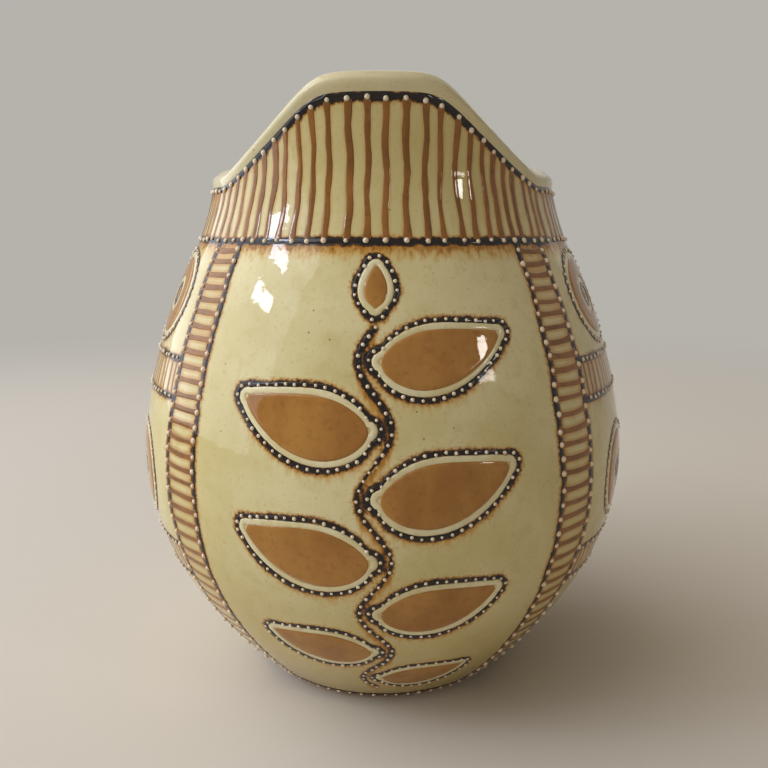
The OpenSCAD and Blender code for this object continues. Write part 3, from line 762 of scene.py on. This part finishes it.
front_leaves = []
for i in range(LEAF_COUNT):
    v = LEAF_START + leaf_pitch*i
    side = 1 if i % 2 == 0 else -1
    start = side*stem_u(v) + LINE_W/2 + OUTLINE_OUTSIDE + LEAF_GAP
    panel_half = (LADDER_AZIMUTH - LADDER_HALF)*skin_r(height_at(v))
    front_leaves.append(mirrored((start, v), -LEAF_DROOP, LEAF_REACH_SHARE*panel_half, LEAF_BEND, side))
bud = Vector((stem_u(stem_top), stem_top + OUTLINE_OUTSIDE + LEAF_GAP))
front_leaves.append((bud, math.pi/2, BUD_L, 0))
front_drops = leaf_set("front", front_leaves, 0, 500)
stem_low = LEAF_START*STEM_FOOT_SHARE
stem_climbs = [stem_low + (stem_top - stem_low)*t for t in eased(STEM_STEPS)]
stem = laid([(stem_u(v), v) for v in stem_climbs], 0)
stem_drops = paced(stem, STEM_DROP_STEP)
stem_line = thick(stem, LINE_W/2*OUTLINE_SLIM, 77, waver=LINE_WAVER, drops=stem_drops)
lay("front_stem", [stem_line], LINE, DARK, "dark_slip")
front_drops += [(a, v, OUTLINE_DROP_R) for a, v in stem_drops]
dropped("front_drops", front_drops)

BACK_LEAF_ANGLE, BACK_LEAF_SHARES = 38*DEG, (0.2, 0.42, 0.64)
back_inset = TAIL_W/2 + OUTLINE_OUTSIDE + LINE_W
back_leaves = [mirrored((back_inset, share*WALL_L), BACK_LEAF_ANGLE, BACK_LEAF_L, LEAF_BEND, side)
               for share in BACK_LEAF_SHARES for side in (-1, 1)]
dropped("back_drops", leaf_set("back", back_leaves, math.pi, 600))

# Side panels: roundels and hatched cross bands

ROUNDEL_R, ROUNDEL_AZIMUTH, ROUNDEL_BAND_W = 17.75*MM, 69.3*DEG, 7*MM
ROUNDEL_GAP, PANEL_GAP, LOWER_GAP = 2*MM, 11*MM, 3.6*MM
HATCH_H, HATCH_BAR_W, HATCH_STEP, HATCH_MARGIN = 14.5*MM, 1.3*MM, 2.5*DEG, 0.6*DEG
HATCH_LINE_STEPS, HATCH_BAR_STEPS, HATCH_SWAY = 110, 16, 0.25*MM
BAR_STRAY, BAR_WANDER, BAR_WANDER_L = 0.25, 0.6*MM, 9*MM
RING_STEP, RING_SWAY, EYE_SHARE, EYE_HOLE = 1.1*MM, 0.3*MM, 0.3, 0.1*MM
ROUNDEL_DROP_R, ROUNDEL_DROP_STEP, HATCH_DROP_R = 0.58*MM, 3.1*MM, 0.68*MM
upper_roundel_v = WALL_L - LINE_W/2 - ROUNDEL_GAP - ROUNDEL_R
upper_hatch_v = upper_roundel_v - ROUNDEL_R - ROUNDEL_GAP
lower_roundel_v = upper_hatch_v - HATCH_H - PANEL_GAP - ROUNDEL_R
lower_hatch_v = lower_roundel_v - ROUNDEL_R - LOWER_GAP
halo_out = ROUNDEL_R - LINE_W - SLIP_GAP
band_out = halo_out - HALO_W - SLIP_GAP
band_in = band_out - ROUNDEL_BAND_W
eye_halo_in = band_in - SLIP_GAP - HALO_W
eye_line_out = eye_halo_in - SLIP_GAP
eye_r = EYE_SHARE*eye_line_out
eye_line_in = (eye_line_out + eye_r)/2


def ring(middle, v, inside, outside, seed, spread=0.0):
    """A round trail between two radii about a point of the wall."""
    radius = (inside + outside)/2
    count = max(round(TURN*radius/RING_STEP), 16)
    flat = []
    for i in range(count):
        f = TURN*i/count
        reach = radius + RING_SWAY*drift(3*math.cos(f), seed)*math.sin(f/2)
        flat.append((reach*math.cos(f), v + reach*math.sin(f)))
    return thick(laid(flat, middle), (outside - inside)/2 + spread, seed, True)


def side_panel(place, side):
    bands, eyes, halos, lines, drops = [], [], [], [], []
    seed = 700 + 50*side
    for turn in (ROUNDEL_AZIMUTH, math.pi - ROUNDEL_AZIMUTH):
        for v in (upper_roundel_v, lower_roundel_v):
            seed += 5
            middle = side*turn
            bands.append(ring(middle, v, band_in, band_out, seed, SLIP_GAP))
            eyes.append(ring(middle, v, EYE_HOLE, eye_r, seed + 1, SLIP_GAP))
            halos.append(ring(middle, v, band_out + SLIP_GAP, halo_out, seed + 2, HALO_LAP))
            halos.append(ring(middle, v, eye_halo_in, band_in - SLIP_GAP, seed + 3, HALO_LAP))
            outer = [p[:2] for p in ring(middle, v, halo_out + SLIP_GAP, ROUNDEL_R, seed + 4)]
            beads = paced(outer, ROUNDEL_DROP_STEP, True)
            lines.append(thick(outer, LINE_W/2*OUTLINE_SLIM, seed + 4, True, waver=LINE_WAVER, drops=beads))
            lines.append(ring(middle, v, eye_line_in, eye_line_out, seed + 4))
            drops += [(a, u, ROUNDEL_DROP_R) for a, u in beads]
    lay(place + "_roundel_rings", bands + eyes, FILL, TAN, "tan_slip", True, 5)
    lay(place + "_roundel_halos", halos, HALO, PALE, "pale_slip", True)
    lay(place + "_roundel_lines", lines, LINE, DARK, "dark_slip", True, weep=steady(0.72))
    bars, hatch_lines = [], []
    edge = 90*DEG - LADDER_AZIMUTH - LADDER_HALF - HATCH_MARGIN
    for v in (upper_hatch_v, lower_hatch_v):
        for top in (v, v - HATCH_H + LINE_W):
            seed += 1
            points = []
            for t in eased(HATCH_LINE_STEPS):
                points.append((side*90*DEG + edge*(2*t - 1), top - LINE_W/2 + HATCH_SWAY*drift(6*t, seed)))
            hatch_lines.append(thick(points, LINE_W/2*HATCH_SLIM, seed, waver=LINE_WAVER))
        count = math.floor((edge - HATCH_BAR_W/2/BELLY_R)/HATCH_STEP)
        for i in range(-count, count + 1):
            low, high = v - HATCH_H + LINE_W*0.5, v - LINE_W*0.5
            middle = side*90*DEG + i*HATCH_STEP + hand.uniform(-BAR_STRAY, BAR_STRAY)*DEG
            points = []
            for t in eased(HATCH_BAR_STEPS):
                u = low + (high - low)*t
                points.append((middle + BAR_WANDER*drift(u/BAR_WANDER_L, seed + 3*i)/BELLY_R, u))
            bars.append(thick(points, HATCH_BAR_W/2*hand.uniform(0.85, 1.05), seed + i, flare=0.3))
            drops.append((*points[0], HATCH_DROP_R))
            drops.append((*points[-1], HATCH_DROP_R))
    lay(place + "_hatch_bars", bars, STRIPE, THIN_TAN, "tan_slip")
    lay(place + "_hatch_lines", hatch_lines, FLAT_LINE, DARK, "dark_slip", weep=steady(0.75))
    dropped(place + "_panel_drops", drops)


side_panel("left", -1)
side_panel("right", 1)
bpy.data.objects.remove(drop)

# Where the glaze is stained: maps of the wall with the dark slip and the thin tan slip drawn on them

MAP_COLUMNS, MAP_STEP = 1800, 0.3*MM
RUN_L, BLEED_PASSES, OUTSIDE_DEPTH = 12*MM, 14, 1.2*MM
FRONT_TINT, SIDE_TINT = 0.6, 1.6
map_rows = int(climbed[-1]/MAP_STEP) + 2


def drawn(trails):
    """A map of the wall that holds each trail's strength, by azimuth, where it lies."""
    chart = numpy.zeros((map_rows, MAP_COLUMNS))
    for path, strength in trails:
        for a, v, half in path:
            reach = half/skin_r(height_at(v))/TURN*MAP_COLUMNS
            column = (a/TURN + 0.5)*MAP_COLUMNS
            columns = numpy.arange(round(column - reach), round(column + reach) + 1) % MAP_COLUMNS
            rows = slice(max(round((v - half)/MAP_STEP), 0), round((v + half)/MAP_STEP) + 1)
            chart[rows, columns] = strength(a)
    return chart


def spread(chart):
    """A map with its trails bled out by about a millimetre."""
    for _ in range(BLEED_PASSES):
        chart = (chart + sum(numpy.roll(chart, step, axis) for step in (-1, 1) for axis in (0, 1)))/5
    return chart


weeping = drawn(dark_trails)
run_map = numpy.zeros(weeping.shape)
load = numpy.zeros(MAP_COLUMNS)
for row in range(map_rows - 1, -1, -1):
    load = numpy.where(weeping[row] > 0, weeping[row], numpy.maximum(load - MAP_STEP/RUN_L, 0))
    run_map[row] = load
fringe_map = spread((weeping > 0)*1.0)
sideways = numpy.clip(numpy.abs(numpy.linspace(-2, 2, MAP_COLUMNS)), 0, 1)
tint_map = spread(drawn((path, steady(1)) for path in tan_trails))*(FRONT_TINT + SIDE_TINT*sideways**2)
charts = {"run": run_map, "fringe": fringe_map, "tint": tint_map}


def stained(obj):
    """Gives each vertex of an outside wall the stain of the slip above it and beside it."""
    stains = {name: [] for name in charts}
    for vertex in obj.data.vertices:
        co = vertex.co
        outside = math.hypot(co.x, co.y) > skin_r(co.z) - OUTSIDE_DEPTH
        row = min(max(climb_at(max(co.z, 0))/MAP_STEP, 0), map_rows - 2)
        column = (azimuth(co)/TURN + 0.5)*MAP_COLUMNS
        i, j = int(row), int(column) % MAP_COLUMNS
        y, x, k = row - int(row), column - int(column), (j + 1) % MAP_COLUMNS
        for name, chart in charts.items():
            low = chart[i, j]*(1 - x) + chart[i, k]*x
            high = chart[i + 1, j]*(1 - x) + chart[i + 1, k]*x
            stains[name].append(low*(1 - y) + high*y if outside else 0)
    for name, values in stains.items():
        obj.data.attributes.new(name, "FLOAT", "POINT").data.foreach_set("value", values)


# The thrown body

BODY_TURNS, BODY_OUTER_STEPS, BODY_INNER_STEPS = 440, 168, 30
FOOT_ROUND, JOIN_H, BOWL_H = 1.4*MM, 14*MM, 4*MM
BOWL_INSETS, BOWL_RISES, MIDDLE_SHARE = (2.5*MM, 7*MM), (1.8*MM, 0.4*MM), 0.5
TRUE_SHARE, TRUE_H = 0.9, 1*MM
BARE_H, BARE_FACING = 0.5*MM, -0.8


def inner_r(z):
    join = max(0, (z - (FOOT_H - JOIN_H))/JOIN_H)
    plain = skin_r(z) - WALL_T*math.hypot(1, slope(z))
    return plain + (FOOT_R - COLLAR_T - plain)*join


base_edge = []
for f in (0, 30, 60):
    base_edge.append((BASE_R - FOOT_ROUND*(1 - math.sin(f*DEG)), FOOT_ROUND*(1 - math.cos(f*DEG))))
rise = [height_at(WALL_L*i/BODY_OUTER_STEPS) for i in range(2, BODY_OUTER_STEPS + 1)]
outer = [(skin_r(z), z) for z in rise]
inner_low = FLOOR_T + BOWL_H
fall = [FOOT_H + (inner_low - FOOT_H)*i/BODY_INNER_STEPS for i in range(BODY_INNER_STEPS + 1)]
inner = [(inner_r(z), z) for z in fall]
floor_r = inner[-1][0]
bowl = [(floor_r - inset, FLOOR_T + lift) for inset, lift in zip(BOWL_INSETS, BOWL_RISES)]
bowl += [(floor_r*MIDDLE_SHARE, FLOOR_T), (0, FLOOR_T)]
body = thrown([(0, 0), (BASE_R*MIDDLE_SHARE, 0)] + base_edge + outer + inner + bowl, BODY_TURNS)


def off_true(co):
    """A thrown point moved by the dents of the wall, but not on the base and the floor."""
    a = azimuth(co)
    shift = wall_r(a, co.z) - skin_r(co.z)
    r = math.hypot(co.x, co.y)
    if r < BASE_R*TRUE_SHARE and co.z < FLOOR_T + TRUE_H:
        return co
    return Vector(((r + shift)*math.sin(a), -(r + shift)*math.cos(a), co.z))


shaped(body, off_true)
stained(body)
finished(body, "thrown_body", CLAY, "clay", "body")
body.data.materials.append(BISCUIT)
for face in body.data.polygons:
    if face.center.z < BARE_H and face.normal.z < BARE_FACING:
        face.material_index = 1

# The collar: spun as a plain ring of two walls, then drawn up to the line of the rim

COLLAR_TURNS, COLLAR_OUTER_STEPS, COLLAR_INNER_STEPS = 420, 56, 24
RING_OUT, RING_IN = 2*MM, 1*MM
COLLAR_LAP, COLLAR_TUCK = 0.8*MM, 1*MM
collar_profile = ([(RING_OUT, i/COLLAR_OUTER_STEPS) for i in range(COLLAR_OUTER_STEPS + 1)]
                  + [(RING_IN, 1 - i/COLLAR_INNER_STEPS) for i in range(COLLAR_INNER_STEPS + 1)]
                  + [(RING_OUT, 0)])


def drawn_up(co):
    """A point of the plain ring on the collar's own wall."""
    a = azimuth(co)
    z = FOOT_H + co.z*(collar_cut(a) + COLLAR_LAP - FOOT_H)
    tuck = COLLAR_TUCK if co.z > 0.999 else 0
    wall = COLLAR_T + (RIM_T - COLLAR_T)*max(3*co.z - 2, 0)**2 - tuck/2
    r = wall_r(a, z) - (tuck if math.hypot(co.x, co.y) > (RING_IN + RING_OUT)/2 else wall)
    return Vector((r*math.sin(a), -r*math.cos(a), z))


collar = thrown(collar_profile, COLLAR_TURNS)
shaped(collar, drawn_up)
stained(collar)
finished(collar, "thrown_collar", CLAY, "clay", "collar")

# The rim: a rolled ring that follows the crest

RIM_TURNS, RIM_SIDES, RIM_ROUND, RIM_BELLY = 480, 32, 0.7, 0.8*MM
RIM_RING_R, RIM_RING_T, RIM_DIP, RIM_UNDER_SHARE = 2*MM, 1*MM, 0.25*MM, 0.12
bpy.ops.object.select_all(action="DESELECT")
bpy.ops.mesh.primitive_torus_add(
    major_segments=RIM_TURNS, minor_segments=RIM_SIDES, major_radius=RIM_RING_R, minor_radius=RIM_RING_T)
rim = bpy.context.object


def rolled(co):
    """A point of a small plain ring on the rolled rim."""
    a = azimuth(co)
    out = math.hypot(co.x, co.y) - RIM_RING_R
    up = co.z
    f = math.atan2(up, out)
    top = rim_z(a) - RIM_DIP*(0.5 + 0.5*drift(2.2*math.cos(a) + 3*math.sin(a), 31))
    z = top - RIM_H + (RIM_H*math.sin(f)**RIM_ROUND if f > 0 else RIM_H*RIM_UNDER_SHARE*math.sin(f))
    r = wall_r(a, z) - RIM_T*(1 - math.cos(f))/2
    if 0 < f < math.pi/4:
        r += RIM_BELLY*math.sin(4*f)
    return Vector((r*math.sin(a), -r*math.cos(a), z))


shaped(rim, rolled)
edit()
closed_up()
finished(rim, "rolled_rim", LIP, "clay", "rim")

# The handle: a sheet rolled into a grooved strap along a curve

HANDLE_RINGS, HANDLE_SIDES = 96, 48
HANDLE_TAIL_REACH_SHARE, HANDLE_TAIL_RISE_SHARE, GROOVE_POWER = 0.9, 0.5, 6
HANDLE_BED = 0.6*MM
TOP_SMEAR, TAIL_SMEAR, SMEAR_L, HUG_SHARE = 2.2*MM, 1*MM, 1.6*MM, 0.04
HANDLE_SPAN = HANDLE_TOP_H - HANDLE_LOW_H
handle_path = [Vector(p) for p in (
    (skin_r(HANDLE_TOP_H), HANDLE_TOP_H),
    (skin_r(HANDLE_TOP_H) + HANDLE_REACH, HANDLE_TOP_H + HANDLE_LIFT),
    (skin_r(HANDLE_LOW_H) + HANDLE_REACH*HANDLE_TAIL_REACH_SHARE,
     HANDLE_LOW_H + HANDLE_SPAN*HANDLE_TAIL_RISE_SHARE),
    (skin_r(HANDLE_LOW_H), HANDLE_LOW_H))]
bpy.ops.object.select_all(action="DESELECT")
bpy.ops.mesh.primitive_grid_add(x_subdivisions=HANDLE_SIDES, y_subdivisions=HANDLE_RINGS, size=1)
handle = bpy.context.object


def strap(co):
    """A point of a flat sheet on the strap: across the sheet goes round it, up the sheet goes along it."""
    p0, p1, p2, p3 = handle_path
    t, f = (1 + math.sin(math.pi*min(max(co.y, -0.5), 0.5)))/2, TURN*(co.x + 0.5)
    p = p0*(1 - t)**3 + 3*p1*t*(1 - t)**2 + 3*p2*t*t*(1 - t) + p3*t**3
    d = ((p1 - p0)*(1 - t)**2 + 2*(p2 - p1)*t*(1 - t) + (p3 - p2)*t*t).normalized()
    flare = 1 + FLARE_SHARE*(math.exp(-t/FLARE_LENGTH_SHARE) + math.exp((t - 1)/FLARE_LENGTH_SHARE))
    # Near its ends the strap is smeared out over the wall and takes on the wall's curve
    away = p.x - (p0.x if t < 0.5 else p3.x)
    smear = (TOP_SMEAR if t < 0.5 else TAIL_SMEAR)*math.exp(-away/SMEAR_L)
    hug = math.exp(-min(t, 1 - t)/HUG_SHARE)
    across = math.cos(f)*((STRAP_W + (TAIL_W - STRAP_W)*t)*flare/2 + smear)
    out = math.sin(f)*(STRAP_T*flare/2 + smear)
    if math.sin(f) > 0:
        out -= GROOVE_D*math.sin(f)**GROOVE_POWER
    z = p.y + d.x*out
    wall = math.sqrt((skin_r(z) - HANDLE_BED)**2 - across*across)
    return Vector((across, (p.x - d.y*out)*(1 - hug) + (wall + away)*hug, z))


shaped(handle, strap)
edit()
bpy.ops.mesh.remove_doubles(threshold=MERGE)
bpy.ops.mesh.select_mode(type="EDGE")
bpy.ops.mesh.select_all(action="DESELECT")
bpy.ops.mesh.select_non_manifold()
bpy.ops.mesh.edge_face_add()
bpy.ops.mesh.select_mode(type="VERT")
closed_up()
finished(handle, "pulled_handle", CLAY, "clay", "handle")

# The floor, the light and the camera

BACKDROP, BACKDROP_LEVEL = linear("#EFEBE3"), 0.54
NEAR_FLOOR, FAR_FLOOR, FLOOR_SIZE = 0.32, 1.1, 12
LIT_FROM, DIM, BRIGHT = (-0.93, -0.12, 0.34), 0.05, 0.97


def looked_at(tree):
    """1 where the eye or a reflection meets a surface, and 0 where light does."""
    seen = add(tree, "LightPath", {}, {}, "Is Camera Ray")
    for kind in ("Is Glossy Ray", "Is Transmission Ray"):
        ray = add(tree, "LightPath", {}, {}, kind)
        seen = add(tree, "Math", {"operation": "MAXIMUM"}, {0: seen, 1: ray})
    return seen


bpy.ops.object.select_all(action="DESELECT")
bpy.ops.mesh.primitive_plane_add(size=FLOOR_SIZE)
ground = bpy.context.object
ground.name = "studio_floor"
# Matt studio paper, which goes over into the plain backdrop away from the jug
paper = bpy.data.materials.new("pale_studio_paper")
paper.use_nodes = True
sheet = paper.node_tree
matt = sheet.nodes["Principled BSDF"]
matt.inputs["Base Color"].default_value = linear("#D2CCC2")
matt.inputs["Roughness"].default_value = 0.9
spot = add(sheet, "TexCoord", {}, {}, "Object")
away = add(sheet, "VectorMath", {"operation": "LENGTH"}, {0: spot}, "Value")
away = add(sheet, "MapRange", EASE, {"Value": away, "From Min": NEAR_FLOOR, "From Max": FAR_FLOOR})
away = add(sheet, "Math", {"operation": "MULTIPLY"}, {0: away, 1: looked_at(sheet)})
far = add(sheet, "Emission", {}, {"Color": BACKDROP, "Strength": BACKDROP_LEVEL})
whole = add(sheet, "MixShader", {}, {0: away, 1: matt.outputs[0], 2: far})
sheet.links.new(whole, sheet.nodes["Material Output"].inputs["Surface"])
ground.data.materials.append(paper)
ground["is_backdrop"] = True

JUG_MIDDLE = Vector((0, 0, 0.11))


def window(name, turn, rise, distance, width, height, power, tint):
    """A soft studio window that faces the jug from an azimuth and an elevation in degrees."""
    lamp = bpy.data.lights.new(name, "AREA")
    lamp.shape = "RECTANGLE"
    lamp.size, lamp.size_y = width, height
    lamp.energy = power
    lamp.color = linear(tint)[:3]
    stand = bpy.data.objects.new(name, lamp)
    a, e = turn*DEG, rise*DEG
    way = Vector((math.sin(a)*math.cos(e), -math.cos(a)*math.cos(e), math.sin(e)))
    stand.location = JUG_MIDDLE + way*distance
    stand.rotation_euler = way.to_track_quat("Z", "Y").to_euler()
    bpy.context.collection.objects.link(stand)


# Azimuth and elevation in degrees, distance, width and height in metres, power in watts, tint
window("left_softbox", -94, 28, 1.5, 2.4, 1.8, 22, "#EAF2FF")
window("left_window_low", -69, 31, 1.2, 0.27, 0.08, 1.1, "#DDE8FF")
window("left_window_high", -69, 40, 1.2, 0.27, 0.08, 1.1, "#DDE8FF")
window("right_window", 52, 24.5, 1.2, 0.1, 0.12, 0.8, "#FFFAF0")
window("right_sill", 50, 18.5, 1.2, 0.17, 0.05, 0.3, "#FFFAF0")
window("top_softbox", -70, 64, 1.3, 1, 1, 3, "#FFFBF4")
window("back_softbox", 160, 45, 1.5, 2, 1.6, 3.5, "#FFFBF4")

world = bpy.data.worlds.new("studio")
world.use_nodes = True
bpy.context.scene.world = world
sky = world.node_tree
# The room is bright to the left and above, where its windows are, and dim and warm to the right
look = add(sky, "TexCoord", {}, {}, "Generated")
lit = add(sky, "VectorMath", {"operation": "DOT_PRODUCT"}, {0: look, 1: LIT_FROM}, "Value")
lit = add(sky, "MapRange", EASE, {"Value": lit, "From Min": 0})
level = add(sky, "MapRange", {}, {"Value": lit, "To Min": DIM, "To Max": BRIGHT})
glow = add(sky, "MapRange", {}, {"Value": looked_at(sky), "To Min": level, "To Max": BACKDROP_LEVEL})
back = sky.nodes["Background"]
colour = add(sky, "Mix", BLEND, {0: lit, 6: linear("#FFD9A6"), 7: linear("#F4EEE4")}, 2)
colour = add(sky, "Mix", BLEND, {0: looked_at(sky), 6: colour, 7: BACKDROP}, 2)
sky.links.new(colour, back.inputs["Color"])
sky.links.new(glow, back.inputs["Strength"])

CAMERA_TURN, CAMERA_PITCH, CAMERA_AIM = 1.6*DEG, 11.12*DEG, 1.514*DEG
CAMERA_AWAY, CAMERA_H, CAMERA_LENS, CAMERA_SENSOR = 0.309, 0.1673, 37.5, 36
eye = bpy.data.cameras.new("camera")
eye.sensor_width = CAMERA_SENSOR
eye.lens = CAMERA_LENS
camera = bpy.data.objects.new("camera", eye)
camera.location = (CAMERA_AWAY*math.sin(CAMERA_TURN), -CAMERA_AWAY*math.cos(CAMERA_TURN), CAMERA_H)
camera.rotation_euler = (math.pi/2 - CAMERA_PITCH, 0, CAMERA_AIM)
bpy.context.collection.objects.link(camera)
bpy.context.scene.camera = camera
bpy.context.scene.view_settings.view_transform = "Standard"

low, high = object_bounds()
